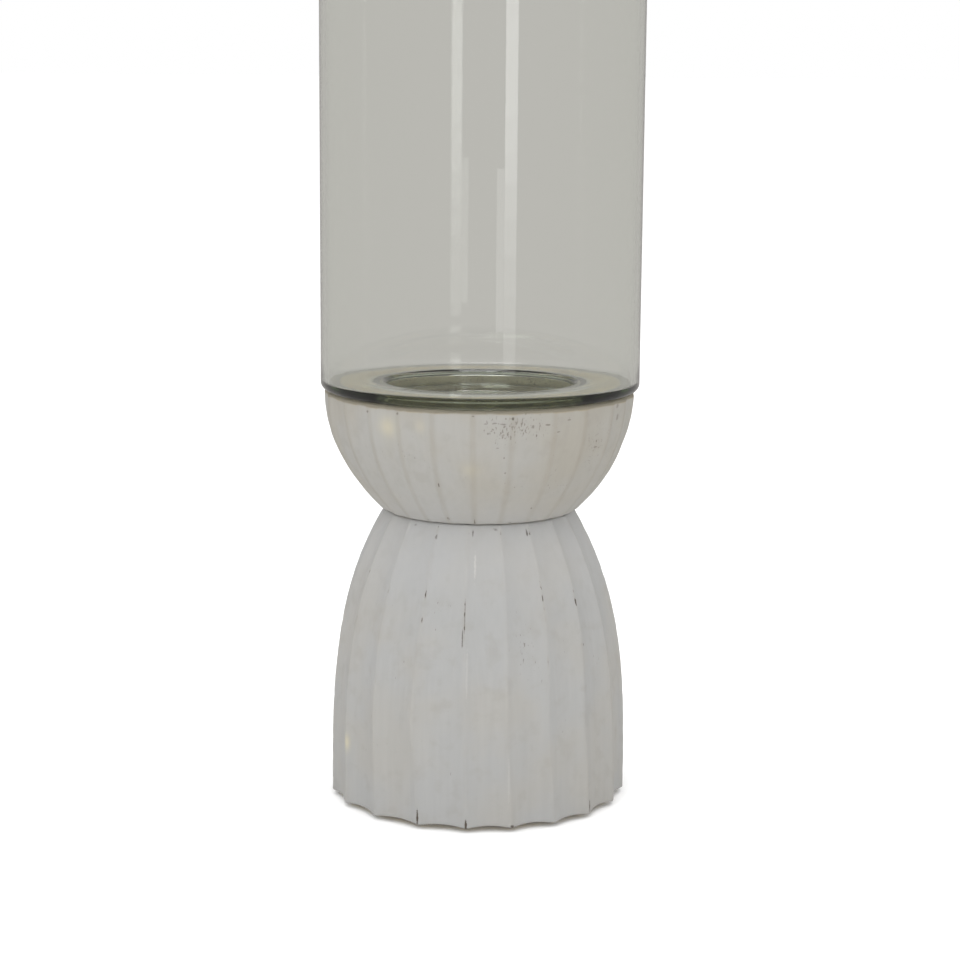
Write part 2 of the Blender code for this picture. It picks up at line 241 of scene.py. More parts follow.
def columns_of(flutes, stray, steps, heights):
    """Angle, share across its flute and nearest arris, for every column of every ring."""
    pitch = math.tau / flutes
    number = np.arange(flutes + 1)
    signed = (number + flutes // 2) % flutes - flutes // 2
    offsets = np.repeat(rng.normal(0, PITCH_SPREAD, flutes)[:, None] * pitch, len(heights), axis=1)
    for arris, degrees in stray.items():
        offsets[arris % flutes] = np.interp(heights / heights[-1], STRAY_AT, np.radians(degrees))
    places = (number[:, None] - 0.5) * pitch + offsets[number % flutes]
    sway = np.stack([smooth_noise(heights, SWAY_HEIGHT) for _ in range(flutes)])
    places = places + SWAY * pitch * sway[number % flutes]
    # Columns crowd towards the arrises, where the surface turns sharply.
    even_share = np.linspace(0, 1, steps, endpoint=False)
    share = even_share - 0.11 * np.sin(math.tau * even_share)
    angles = []
    shares = []
    for flute in range(flutes):
        low = places[flute][:, None]
        high = places[flute + 1][:, None]
        angles.append(low + (high - low) * share)
        shares.append(np.broadcast_to(share, (len(heights), steps)))
    nearest = np.concatenate([np.where(share < 0.5, signed[f], signed[f + 1]) for f in range(flutes)])
    return np.concatenate(angles, axis=1), np.concatenate(shares, axis=1), nearest


def rubbed(rubs, nearest, heights, distance, flutes):
    """How far the paint is rubbed through, from 0 to over 1, round each arris."""
    worn = np.zeros(distance.shape)
    seen = {arris for arris, *_ in rubs}
    places = [(arris, low * MM, high * MM, strength) for arris, low, high, strength in rubs]
    # The arrises at the sides and the back get a few rubs of their own.
    for arris in range(-(flutes // 2), flutes - flutes // 2):
        if arris in seen or abs(arris) <= FRONT_ARRISES:
            continue
        for _ in range(rng.integers(1, 4)):
            low = rng.uniform(heights[0], heights[-1])
            places.append((arris, low, low + rng.uniform(3, 16) * MM, rng.uniform(0.4, 1.0)))
    for arris, low, high, strength in places:
        column = nearest == arris
        middle = (low + high) / 2
        reach = (high - low) / 2
        along = np.clip(1.15 - ((heights - middle) / reach) ** 2, 0, 1)
        patchy = np.clip(0.7 + 0.6 * smooth_noise(heights, 2.2 * MM), 0, 1.2)
        width = (0.42 + 0.2 * smooth_noise(heights, 3 * MM)) * MM
        shift = 0.12 * MM * smooth_noise(heights, 6 * MM)
        near = np.exp(-(((distance - shift[:, None]) / width[:, None]) ** 2))
        spot = strength * (along * patchy)[:, None] * near
        worn = np.where(column, np.maximum(worn, spot), worn)
    return worn


def patches(spots, angles, radius, heights):
    """The sum of soft round patches on a block's side."""
    total = np.zeros(angles.shape)
    for degrees, height, half_width, half_height, strength in spots:
        across = (angles - math.radians(degrees) + math.pi) % math.tau - math.pi
        across = across * radius / (half_width * MM)
        up = (heights[:, None] - height * MM) / (half_height * MM)
        total += strength * np.exp(-(across**2) - up**2)
    return total


def fluted_block(
    name, radius_at, flutes, depth, heights, base, stray, rubs, pores, yellow, rim, rest,
    pulled_in=0.0, scooped=False, steps=18,
):
    """A block whose side is carved in concave flutes. heights run from 0 up, base is the underside's
    z, rim is how far the paint stops short of the top edge and the rim's painted shade reaches down,
    and rest is the remaining, unpainted outline, from the top edge back to the bottom edge.
    pulled_in is how far the side is drawn in at its right, scooped cuts the flutes up into the
    underside, and steps is the columns in a flute."""
    angles, share, nearest = columns_of(flutes, stray, steps, heights)
    radius = radius_at(heights)[:, None]
    full = radius.max()
    pitch_here = radius * math.tau / flutes
    distance = np.minimum(share, 1 - share) * pitch_here
    number = np.repeat(np.arange(flutes), steps)
    deep = depth * (1 + DEPTH_SPREAD * rng.normal(0, 1, flutes).clip(-1.5, 1.5))[number]
    uneven = np.stack([smooth_noise(heights, 40 * MM) for _ in range(flutes)])[number].T
    # A flute's hollow, with the arris at each side worn blunt.
    even_hollow = 4 * share * (1 - share)
    scallop = np.sqrt(even_hollow**2 + WORN_ARRIS**2) - WORN_ARRIS
    worn = rubbed(rubs, nearest, heights, distance, flutes)
    dents = np.stack([smooth_noise(heights, 5 * MM) for _ in range(flutes)])
    dents = np.clip(dents - 0.35, 0, 1)[nearest % flutes].T
    blunt = (BLUNT_DEPTH + DENT_DEPTH * dents) * np.exp(-distance / BLUNT_REACH)
    hollow = deep * radius / full * scallop * (1 + DEPTH_WANDER * uneven)
    side = radius - hollow - blunt - RUB_DEPTH * np.clip(worn, 0, 1.2)
    side += TOOL_RIPPLE * smooth_noise(angles * 60 + heights[:, None] * 300, 1.0)
    across = np.exp(-(((angles - PULLED_TURN) / PULLED_WIDTH) ** 2))
    upward = np.exp(-(((heights[:, None] - PULLED_HEIGHT) / PULLED_REACH) ** 2))
    side -= pulled_in * across * upward
    z = base + np.broadcast_to(heights[:, None], side.shape)
    if scooped:
        z = z + FOOT_LIFT * scallop * np.clip(1 - heights / FOOT_LIFT_HEIGHT, 0, 1)[:, None]
    points = [ring_points(*ring) for ring in zip(side, angles, z)]
    fading = np.repeat(unpainted(heights, rim)[:, None], len(nearest), axis=1)
    layers = {
        "worn": list(worn),
        "edge": list(distance / MM),
        "pores": list(patches(pores, angles, radius, heights)),
        "yellow": list(patches(yellow, angles, radius, heights)),
        "bare": list(fading),
        "rim": list(fading),
        "recess": list(np.zeros(side.shape)),
    }
    # The rest of the outline is plain circles, their points at the angles of the carved edge above
    # or below. It is bare wood, with painted shade near the bowl's rim under the glass, and greyer in its
    # recess.
    for carved_edge, r, z in rest:
        top = carved_edge == "top"
        edge_angles = angles[-1] if top else angles[0]
        points.append(ring_points(r, edge_angles, z))
        values = {"edge": FAR_FROM_ARRIS, "bare": 1.0}
        # The bowl's outer top ring gets painted shade, as it lies under the glass.
        values["rim"] = 1.0 if top and r > SHADED_RIM_RADIUS else 0.0
        values["recess"] = 1.0 if top and r < RECESS_RADIUS + 1 * MM else 0.0
        for key, rows in layers.items():
            rows.append(np.full(len(edge_angles), values.get(key, 0.0)))
    attributes = {key: np.array(rows) for key, rows in layers.items()}
    return grid_piece(name, np.array(points), attributes)


def unpainted(heights, rim):
    """0 where the side is painted, and growing to 1 over the last of it below the top edge."""
    below_top = heights[-1] - heights
    return np.clip(1 - below_top / rim, 0, 1) if rim else np.zeros(len(heights))


def side_heights(height, spacing, edge):
    """Row heights, with a few close together at the rounded bottom and top edges."""
    middle = np.linspace(edge, height - edge, round(height / spacing))
    low = edge * np.array([0.0, 0.12, 0.35, 0.65])
    return np.concatenate([low, middle, height - low[::-1]])


def rounded(heights, radius, height, edge):
    """Pulls a radius in at the two ends of a block, as a round of the edge's size."""
    end = np.minimum(heights, height - heights)
    inside = np.clip(1 - end / edge, 0, 1)
    return radius - edge * (1 - np.sqrt(1 - inside**2 * 0.98))


def build_pedestal():
    height = PEDESTAL_TOP - PEDESTAL_BOTTOM
    edge = 0.8 * MM
    heights = side_heights(height, 0.9 * MM, edge)

    def radius_at(z):
        curve = PEDESTAL_RADIUS - (PEDESTAL_RADIUS - WAIST_RADIUS) * (z / height) ** PEDESTAL_POWER
        return rounded(z, curve, height, edge)

    socket_floor = SPIGOT_BOTTOM - 0.3 * MM
    rest = [
        ("top", WAIST_RADIUS - 4 * MM, PEDESTAL_TOP),
        ("top", SOCKET_RADIUS, PEDESTAL_TOP),
        ("top", SOCKET_RADIUS, socket_floor),
        ("top", BOLT_HOLE_RADIUS, socket_floor),
        ("bottom", BOLT_HOLE_RADIUS, COUNTERBORE_TOP),
        ("bottom", COUNTERBORE_RADIUS, COUNTERBORE_TOP),
        ("bottom", COUNTERBORE_RADIUS, PEDESTAL_BOTTOM + 0.5 * MM),
        ("bottom", COUNTERBORE_RADIUS + 0.5 * MM, PEDESTAL_BOTTOM),
        ("bottom", 40 * MM, PEDESTAL_BOTTOM),
        ("bottom", 62 * MM, PEDESTAL_BOTTOM),
    ]
    piece = fluted_block(
        "pedestal_carved", radius_at, PEDESTAL_FLUTES, PEDESTAL_DEPTH, heights, PEDESTAL_BOTTOM,
        PEDESTAL_STRAY_DEG, PEDESTAL_RUBS, PEDESTAL_PORES, PEDESTAL_YELLOW, 0.0, rest, scooped=True,
    )
    sharpen(piece, 50)
    return piece


def build_bowl():
    height = BOWL_TOP - BOWL_BOTTOM
    edge = 1.3 * MM
    heights = side_heights(height, 0.7 * MM, edge)

    def radius_at(z):
        curve = BOWL_RADIUS - (BOWL_RADIUS - BOWL_FOOT_RADIUS) * (1 - z / height) ** BOWL_POWER
        return rounded(z, curve, height, edge)

    bolt_top = INSERT_HOLE_TOP + 6 * MM
    rest = [
        ("top", 70 * MM, BOWL_TOP),
        ("top", 67.5 * MM, BOWL_TOP),
        ("top", 66 * MM, BOWL_TOP),
        ("top", 54 * MM, BOWL_TOP),
        ("top", RECESS_RADIUS + 0.5 * MM, BOWL_TOP),
        ("top", RECESS_RADIUS, BOWL_TOP - 0.5 * MM),
        ("top", RECESS_RADIUS, RECESS_FLOOR),
        ("top", 0.0, RECESS_FLOOR),
        ("bottom", 0.0, bolt_top),
        ("bottom", BOLT_HOLE_RADIUS, bolt_top),
        ("bottom", BOLT_HOLE_RADIUS, INSERT_HOLE_TOP),
        ("bottom", INSERT_HOLE_RADIUS, INSERT_HOLE_TOP),
        ("bottom", INSERT_HOLE_RADIUS, SPIGOT_BOTTOM),
        ("bottom", SPIGOT_RADIUS, SPIGOT_BOTTOM),
        ("bottom", SPIGOT_RADIUS, BOWL_BOTTOM),
        ("bottom", BOWL_FOOT_RADIUS - 4 * MM, BOWL_BOTTOM),
    ]
    piece = fluted_block(
        "bowl_carved", radius_at, BOWL_FLUTES, BOWL_DEPTH, heights, BOWL_BOTTOM,
        BOWL_STRAY_DEG, BOWL_RUBS, BOWL_PORES, BOWL_YELLOW, 3.0 * MM, rest, pulled_in=1.1 * MM, steps=14,
    )
    sharpen(piece, 50)
    return piece


def build_glass():
    low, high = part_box("glass_hurricane")
    outer = (high.x - low.x) / 2
    boss = low.z
    bottom = boss + BOSS_DEPTH
    floor = bottom + 4 * MM
    well = floor - BOSS_DEPTH
    top = high.z
    wall = 3 * MM
    inner = outer - wall
    heel = 3.5 * MM
    corner = 0.8 * MM
    foot_round = 2 * MM
    boss_radius = 49.5 * MM
    well_radius = 44 * MM
    lip = 2.5 * MM
    lip_top = floor - 0.6 * MM
    dish_radius = 56 * MM
    soft = 1 * MM
    tangent = soft * math.tan(math.radians(22.5))
    dish_inner = well_radius + lip + tangent
    lip_bottom = lip_top - lip - 2 * tangent
    tilt_fades = 15 * MM
    floor_drop = 0.2 * MM
    wave_depth = 0.06 * MM
    wave_margin = 4 * MM
    wave_grows = 20 * MM
    heights = np.linspace(bottom + heel, top - wall / 2, 90)
    outline = [(0, boss), (boss_radius * 0.5, boss)]
    outline += arc(boss_radius - foot_round, boss + foot_round, foot_round, -90, 0, 6)
    outline += arc(boss_radius + MM, bottom - MM, MM, 180, 90, 4)
    outline += [(outer - heel - 8 * MM, bottom)]
    outline += arc(outer - heel, bottom + heel, heel, -90, 0, 10)
    outline += [(outer, z) for z in heights[1:-1]]
    outline += arc(outer - wall / 2, top - wall / 2, wall / 2, 0, 180, 12)
    outline += [(inner, z) for z in heights[-2:3:-1]]
    outline += arc(inner - corner, floor + corner, corner, 0, -90, 10)
    for share in np.linspace(0, 0.92, 13):
        drop = (floor - lip_top) * (1 - math.cos(math.pi * share)) / 2
        outline.append((dish_radius + (dish_inner - dish_radius) * share, floor - drop))
    outline += arc(dish_inner, lip_top - soft, soft, 80, 135, 5)
    outline += arc(well_radius + soft, lip_top - lip - tangent, soft, 135, 180, 4)
    outline += arc(well_radius - foot_round, well + foot_round, foot_round, 0, -90, 6)
    outline += [(well_radius * 0.5, well), (0, well)]
    draws = [(n, rng.uniform(0, math.tau), rng.uniform(0.3, 1.0)) for n in (3, 7, 11, 17, 26, 41)]

    def sunk(radius, angles, z):
        """The dish and the lip, full at the front and shallow at the back, as the glass sagged."""
        full = np.clip(0.5 + 0.75 * np.cos(angles), 0, 1)
        lip_size = 0.5 + 0.5 * full
        rim = well_radius + (dish_inner - well_radius) * lip_size
        if radius > dish_inner:
            share = (radius - dish_inner) / (dish_radius - dish_inner)
            return rim + (dish_radius - rim) * share, floor - (floor - z) * full
        lip_z = floor - (floor - lip_top) * full - (lip_top - z) * lip_size
        return well_radius + (radius - well_radius) * lip_size, lip_z

    def tilted(radius, angles, z):
        """How far a point inside the glass is raised or lowered by the floor's slight tilt, which is
        highest at the front and fades out up the wall."""
        fade = np.clip((floor + tilt_fades - z) / tilt_fades, 0, 1)
        return fade * (FLOOR_TILT * radius * np.cos(angles) - floor_drop)

    def drawn(radius, angles, z):
        """The tilted and sunken floor, and on the walls the faint upright waves of drawn glass."""
        above_well = z > lip_bottom
        raised = tilted(radius, angles, z) if above_well and radius < inner + 0.1 * MM else 0.0
        if above_well and well_radius <= radius < dish_radius:
            radius, z = sunk(radius, angles, z)
            return radius, z + raised
        if radius < inner - 1 * MM:
            return radius, z + raised
        side = 1.0 if radius > outer - wall / 2 else -0.8
        rise = min(1.0, max(0.0, (z - floor - wave_margin) / wave_grows))
        rise *= min(1.0, max(0.0, (top - wave_margin / 2 - z) / wave_grows))
        wave = 0.0
        for n, phase, weight in draws:
            wave = wave + weight / n * np.sin(n * angles + phase * side + 1.5 * (z - floor) * side)
        return radius - wave_depth * rise * (1 + wave), z + raised

    piece = turned_piece("glass_cylinder", outline, 288, drawn)
    sharpen(piece, 60)
    return piece


def build_cork():
    low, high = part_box("seat_cork")
    radius = high.x
    soft = 0.35 * MM
    outline = [(0, low.z), (radius * 0.5, low.z), (radius - soft, low.z)]
    outline += arc(radius - soft, low.z + soft, soft, -80, 0, 3)
    outline += arc(radius - soft, high.z - soft, soft, 0, 80, 3)
    outline += [(radius - soft, high.z), (radius * 0.5, high.z), (0, high.z)]
    ripple = [(n, rng.uniform(0, math.tau)) for n in (5, 13, 29, 53)]

    def cut(r, angles, z):
        if r < radius * 0.8:
            return r, z
        return r - 0.12 * MM * sum(1 + np.sin(n * angles + phase) for n, phase in ripple) / len(ripple), z

    piece = turned_piece("cork_seat", outline, 240, cut)
    sharpen(piece, 50)
    return piece


def build_pad(number):
    low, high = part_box(f"foot_pad_{number}")
    radius = (high.x - low.x) / 2
    soft = 0.5 * MM
    outline = [(0, low.z), (radius - soft, low.z)]
    outline += arc(radius - soft, low.z + soft, soft, -80, 0, 4)
    outline += arc(radius - soft, high.z - soft, soft, 0, 80, 4)
    outline += [(radius - soft, high.z), (0, high.z)]
    piece = turned_piece(f"pad_{number}", outline, 64)
    piece.location.x = (low.x + high.x) / 2
    piece.location.y = (low.y + high.y) / 2
    sharpen(piece, 50)
    return piece


# ---------------------------------------------------------------- materials

BLOTCH_GREY = (0.30, 0.28, 0.25)
# The next colour is painted light, lifting the shade at the blocks' ends next to the seam.
PAINTED_LIGHT_WHITE = (0.46, 0.463, 0.465)
# The next colour is painted shade, for the side towards the right.
RIGHT_SHADE_BROWN = (0.335, 0.305, 0.245)
YELLOW_PAINT = (0.62, 0.57, 0.40)
THIN_PAINT = (0.33, 0.30, 0.26)
# The next colour is a painted highlight, for the lines along the arrises.
ARRIS_HIGHLIGHT = (0.60, 0.59, 0.56)
ARRIS_DARK_PAINT = (0.28, 0.245, 0.19)
GLINT_WHITE = (0.66, 0.65, 0.62)
PORE_BROWN = (0.13, 0.11, 0.09)
RUBBED_WOOD = (0.075, 0.062, 0.052)
CRACKED_WOOD = (0.085, 0.068, 0.055)
BARE_WOOD_LIGHT = (0.69, 0.56, 0.28)
BARE_WOOD_DARK = (0.64, 0.50, 0.235)
RECESS_WOOD = (0.60, 0.55, 0.40)
FLECK_BROWN = (0.17, 0.12, 0.07)
# The next colour is painted shade, for the bowl's rim under the glass.
RIM_SHADE = (0.26, 0.235, 0.185)
GLASS_GREEN = (0.62, 0.70, 0.55)
GLASS_DENSITY = 42.0
RIGHT_SHADE_WIDTH = 38 * MM  # the painted shade on the right grows from the axis out to here
PAINT_THICKNESS = 0.12 * MM


def feed(tree, socket, value):
    """Links a socket to another node's output, or sets it to a plain value or an RGB colour."""
    if isinstance(value, bpy.types.NodeSocket):
        tree.links.new(value, socket)
    elif socket.type == "RGBA" and len(value) == 3:
        socket.default_value = (*value, 1.0)
    else:
        socket.default_value = value


def add(tree, kind, settings=None, **inputs):
    """A node, with its settings, and its inputs by name with _ for a space."""
    made = tree.nodes.new(kind)
    for key, value in (settings or {}).items():
        setattr(made, key, value)
    for key, value in inputs.items():
        feed(tree, made.inputs[key.replace("_", " ")], value)
    return made


def maths(tree, operation, *values, clamp=False):
    made = add(tree, "ShaderNodeMath", {"operation": operation, "use_clamp": clamp})
    for socket, value in zip(made.inputs, values):
        feed(tree, socket, value)
    return made.outputs[0]


def mix(tree, factor, first, second, blend="MIX"):
    """The first colour where the factor is 0, and the second where it is 1."""
    made = add(tree, "ShaderNodeMix", {"data_type": "RGBA", "blend_type": blend})
    # The node's inputs 0, 6 and 7 are the factor and the two colours.
    for number, value in ((0, factor), (6, first), (7, second)):
        feed(tree, made.inputs[number], value)
    return made.outputs[2]


def noise(tree, place, scale, detail=3.0, stretch=(1, 1, 1)):
    """Smooth noise about 0 to 1 of an object-space place, with scale in cycles per metre."""
    mapped = add(tree, "ShaderNodeMapping", Vector=place, Scale=stretch).outputs[0]
    made = add(tree, "ShaderNodeTexNoise", Vector=mapped, Scale=scale, Detail=detail)
    return made.outputs["Fac"]


def ramp(tree, value, low, high):
    """0 below low, 1 above high, and smooth between."""
    made = add(tree, "ShaderNodeMapRange", {"interpolation_type": "SMOOTHSTEP"}, Value=value)
    made.inputs["From Min"].default_value = low
    made.inputs["From Max"].default_value = high
    return made.outputs[0]


def attribute(tree, name):
    return add(tree, "ShaderNodeAttribute", {"attribute_name": name}).outputs["Fac"]


def new_material(name):
    made = bpy.data.materials.new(name)
    made.use_nodes = True
    tree = made.node_tree
    shader = tree.nodes["Principled BSDF"]
    place = add(tree, "ShaderNodeTexCoord").outputs["Object"]
    return made, tree, shader, place


def bump(tree, shader, height, distance, strength=1.0):
    made = add(tree, "ShaderNodeBump", Height=height, Distance=distance, Strength=strength)
    tree.links.new(made.outputs[0], shader.inputs["Normal"])


def single_marks(tree, place, ragged, spots, base, radius):
    """The strength of single marks on a block's side, each with a ragged border."""
    total = 0.0
    for degrees, height, half_width, half_height, strength in spots:
        turn = math.radians(degrees)
        centre = (radius * math.sin(turn), -radius * math.cos(turn), base + height * MM)
        reach = (half_width * MM, MARK_DEPTH, half_height * MM)
        settings = {"vector_type": "TEXTURE"}
        local = add(tree, "ShaderNodeMapping", settings, Vector=place, Location=centre, Scale=reach)
        local.inputs["Rotation"].default_value = (0, 0, turn)
        length = add(tree, "ShaderNodeVectorMath", {"operation": "LENGTH"}, Vector=local.outputs[0])
        away = maths(tree, "ADD", length.outputs["Value"], ragged)
        inside = maths(tree, "MULTIPLY_ADD", ramp(tree, away, 0.55, 1.15), -strength, strength)
        total = maths(tree, "MAXIMUM", total, inside)
    return total


def aged_paint(tree, place, cool, warm, grain, blotch, right_shade, painted_light_from, painted_light_to):
    """The whitewash's colour: cool and warm clouds, streaks along the grain, grey blotches, painted light
    that pales the end between the heights painted_light_from and painted_light_to, lifting the shade
    next to the seam between the blocks, and painted shade that grows towards the right."""
    clouds = noise(tree, place, 28, 4)
    colour = mix(tree, ramp(tree, clouds, 0.38, 0.66), cool, warm)
    streak = maths(tree, "MULTIPLY_ADD", grain, 0.10, 0.95)
    colour = mix(tree, 1.0, colour, combine(tree, streak), "MULTIPLY")
    grey = maths(tree, "MULTIPLY", ramp(tree, blotch, 0.50, 0.72), 0.20)
    colour = mix(tree, grey, colour, BLOTCH_GREY)
    axes = add(tree, "ShaderNodeSeparateXYZ", Vector=place)
    # Painted shade: the side towards the right is darker.
    shaded_right = maths(tree, "MULTIPLY", ramp(tree, axes.outputs["X"], 0.0, RIGHT_SHADE_WIDTH), right_shade)
    # Painted light: the end next to the seam between the blocks is paler, lifting the shade there.
    pale = maths(tree, "MULTIPLY", ramp(tree, axes.outputs["Z"], painted_light_from, painted_light_to), 0.45)
    colour = mix(tree, pale, colour, PAINTED_LIGHT_WHITE)
    colour = mix(tree, shaded_right, colour, RIGHT_SHADE_BROWN)
    yellow = maths(tree, "MULTIPLY", attribute(tree, "yellow"), 0.75, clamp=True)
    return mix(tree, yellow, colour, YELLOW_PAINT)


def open_pores(tree, place, amount, length):
    """1 in the wood's open pores, which are short dashes along the grain that gather in patches."""
    dash = noise(tree, place, 1250, 2, (1, 1, length))
    where = noise(tree, place, 60, 3, (1, 1, 0.5))
    crowd = maths(tree, "MULTIPLY", where, amount)
    crowd = maths(tree, "MULTIPLY_ADD", attribute(tree, "pores"), 0.16, crowd)
    return ramp(tree, maths(tree, "ADD", dash, crowd), 0.80, 0.90)


def rubbed_through(tree, place, worn):
    """1 where the paint is rubbed right through to the wood, in specks."""
    speck = noise(tree, place, 900, 3, (1, 1, 0.4))
    rub = maths(tree, "ADD", worn, maths(tree, "MULTIPLY_ADD", speck, 1.6, -0.8))
    return maths(tree, "MULTIPLY", ramp(tree, rub, 0.42, 0.80), ramp(tree, worn, 0.04, 0.25))


def arris_lines(tree, place, colour, arris_dark):
    """Broken painted highlights along the arrises, and a darker, warmer line either side of them."""
    edge = attribute(tree, "edge")
    lit = maths(tree, "SUBTRACT", 1.0, ramp(tree, edge, 0.1, 1.3))
    broken = ramp(tree, noise(tree, place, 90, 3, (1, 1, 0.5)), 0.48, 0.68)
    # A painted highlight along each arris, broken here and there.
    highlight_line = maths(tree, "MULTIPLY", maths(tree, "MULTIPLY", lit, broken), 0.07)
    colour = mix(tree, highlight_line, colour, ARRIS_HIGHLIGHT)
    # A darker, warmer line in the paint on either side of each arris.
    seam = maths(tree, "SUBTRACT", 1.0, ramp(tree, edge, 0.2, 2.3))
    uneven = maths(tree, "MULTIPLY_ADD", noise(tree, place, 55, 2, (1, 1, 0.6)), 1.6, 0.2)
    seam = maths(tree, "MULTIPLY", maths(tree, "MULTIPLY", seam, uneven), arris_dark)
    return mix(tree, seam, colour, ARRIS_DARK_PAINT)


def whitewash(
    name, cool, warm, right_shade, painted_light_from, painted_light_to, pore_amount, pore_length, arris_dark,
    nicks, glints, base, radius,
):
    """Thin matt whitewash on open-pored wood. The mesh says where it is rubbed and where it stops."""
    made, tree, shader, place = new_material(name)
    grain = noise(tree, place, 420, 3, (1, 1, 0.07))
    blotch = noise(tree, place, 130, 3)
    colour = aged_paint(tree, place, cool, warm, grain, blotch, right_shade, painted_light_from, painted_light_to)
    pore = open_pores(tree, place, pore_amount, pore_length)
    colour = mix(tree, maths(tree, "MULTIPLY", pore, 0.55), colour, PORE_BROWN)
    worn = attribute(tree, "worn")
    bare = rubbed_through(tree, place, worn)
    thin = maths(tree, "MULTIPLY", ramp(tree, worn, 0.02, 0.6), 0.30)
    colour = mix(tree, thin, colour, THIN_PAINT)
    colour = mix(tree, bare, colour, RUBBED_WOOD)
    colour = arris_lines(tree, place, colour, arris_dark)
    ragged = maths(tree, "MULTIPLY_ADD", noise(tree, place, 700, 3), 1.4, -0.7)
    # Painted highlights: short glints along the arrises.
    glint = single_marks(tree, place, ragged, glints, base, radius)
    colour = mix(tree, maths(tree, "MULTIPLY", glint, 0.6), colour, GLINT_WHITE)
    nick = single_marks(tree, place, ragged, nicks, base, radius)
    colour = mix(tree, nick, colour, CRACKED_WOOD)
    colour = mix(tree, paint_ends(tree, blotch), colour, unpainted_wood(tree, place))
    tree.links.new(colour, shader.inputs["Base Color"])

    rough = maths(tree, "MULTIPLY_ADD", blotch, 0.16, 0.72)
    tree.links.new(rough, shader.inputs["Roughness"])
    shader.inputs["Specular IOR Level"].default_value = 0.35
    relief = maths(tree, "MULTIPLY", noise(tree, place, 2600, 2), 0.35)
    relief = maths(tree, "MULTIPLY_ADD", grain, 0.6, relief)
    relief = maths(tree, "SUBTRACT", relief, maths(tree, "MULTIPLY", pore, 0.8))
    gone = maths(tree, "MULTIPLY", maths(tree, "MAXIMUM", bare, nick), 0.8)
    relief = maths(tree, "SUBTRACT", relief, gone)
    bump(tree, shader, relief, PAINT_THICKNESS, 0.6)
    return made


def paint_ends(tree, blotch):
    """1 where "bare" says that the paint stops, with a ragged border."""
    ragged = maths(tree, "MULTIPLY_ADD", blotch, 0.5, -0.25)
    return ramp(tree, maths(tree, "ADD", attribute(tree, "bare"), ragged), 0.25, 0.62)


def unpainted_wood(tree, place):
    """Pale brown wood with darker flecks, greyer in the recess, with painted shade near the bowl's rim."""
    soft = noise(tree, place, 60, 3)
    colour = mix(tree, ramp(tree, soft, 0.35, 0.7), BARE_WOOD_LIGHT, BARE_WOOD_DARK)
    colour = mix(tree, attribute(tree, "recess"), colour, RECESS_WOOD)
    fleck = ramp(tree, noise(tree, place, 700, 3), 0.54, 0.70)
    colour = mix(tree, maths(tree, "MULTIPLY", fleck, 0.5), colour, FLECK_BROWN)
    # Painted shade on the bowl's top edge and outer ring, under the glass.
    return mix(tree, ramp(tree, attribute(tree, "rim"), 0.05, 0.55), colour, RIM_SHADE)


def combine(tree, value):
    """The grey whose three channels are all the value."""
    made = tree.nodes.new("ShaderNodeCombineColor")
    for socket in made.inputs:
        tree.links.new(value, socket)
    return made.outputs[0]


def clear_glass():
    made, tree, shader, _ = new_material("clear_glass")
    feed(tree, shader.inputs["Base Color"], (1.0, 1.0, 1.0))
    shader.inputs["Roughness"].default_value = 0.0
    shader.inputs["IOR"].default_value = 1.5
    shader.inputs["Transmission Weight"].default_value = 1.0
    tint = add(tree, "ShaderNodeVolumeAbsorption", Color=GLASS_GREEN, Density=GLASS_DENSITY)
    tree.links.new(tint.outputs[0], tree.nodes["Material Output"].inputs["Volume"])
    return made


def pressed_cork():
    made, tree, shader, place = new_material("pressed_cork")
    cells = add(tree, "ShaderNodeTexVoronoi", Vector=place, Scale=620.0)
    fine = noise(tree, place, 1500, 3)
    colour = mix(tree, cells.outputs["Distance"], (0.36, 0.30, 0.20), (0.20, 0.165, 0.105))
    chips = ramp(tree, fine, 0.58, 0.70)
    colour = mix(tree, maths(tree, "MULTIPLY", chips, 0.6), colour, (0.07, 0.05, 0.035))
    tree.links.new(colour, shader.inputs["Base Color"])
    shader.inputs["Roughness"].default_value = 0.85
    bump(tree, shader, maths(tree, "ADD", fine, cells.outputs["Distance"]), 0.2 * MM)
    return made


def moulded_rubber():
    made, tree, shader, place = new_material("moulded_rubber")
    fine = noise(tree, place, 1800, 3)
    colour = mix(tree, fine, (0.020, 0.020, 0.020), (0.040, 0.039, 0.038))
    tree.links.new(colour, shader.inputs["Base Color"])
    tree.links.new(maths(tree, "MULTIPLY_ADD", fine, 0.2, 0.6), shader.inputs["Roughness"])
    bump(tree, shader, fine, 0.05 * MM)
    return made


def zinc_steel():
    made, tree, shader, place = new_material("zinc_steel")
    spangle = noise(tree, place, 350, 4)
    colour = mix(tree, spangle, (0.50, 0.50, 0.49), (0.68, 0.68, 0.67))
    tree.links.new(colour, shader.inputs["Base Color"])
    shader.inputs["Metallic"].default_value = 1.0
    tree.links.new(maths(tree, "MULTIPLY_ADD", spangle, 0.25, 0.22), shader.inputs["Roughness"])
    bump(tree, shader, noise(tree, place, 2200, 2), 0.02 * MM)
    return made


def turned_brass():
    made, tree, shader, place = new_material("turned_brass")
    lines = noise(tree, place, 300, 3, (0.1, 0.1, 12))
    colour = mix(tree, lines, (0.58, 0.42, 0.17), (0.78, 0.60, 0.28))
    tree.links.new(colour, shader.inputs["Base Color"])
    shader.inputs["Metallic"].default_value = 1.0
    tree.links.new(maths(tree, "MULTIPLY_ADD", lines, 0.2, 0.2), shader.inputs["Roughness"])
    bump(tree, shader, lines, 0.03 * MM)
    return made


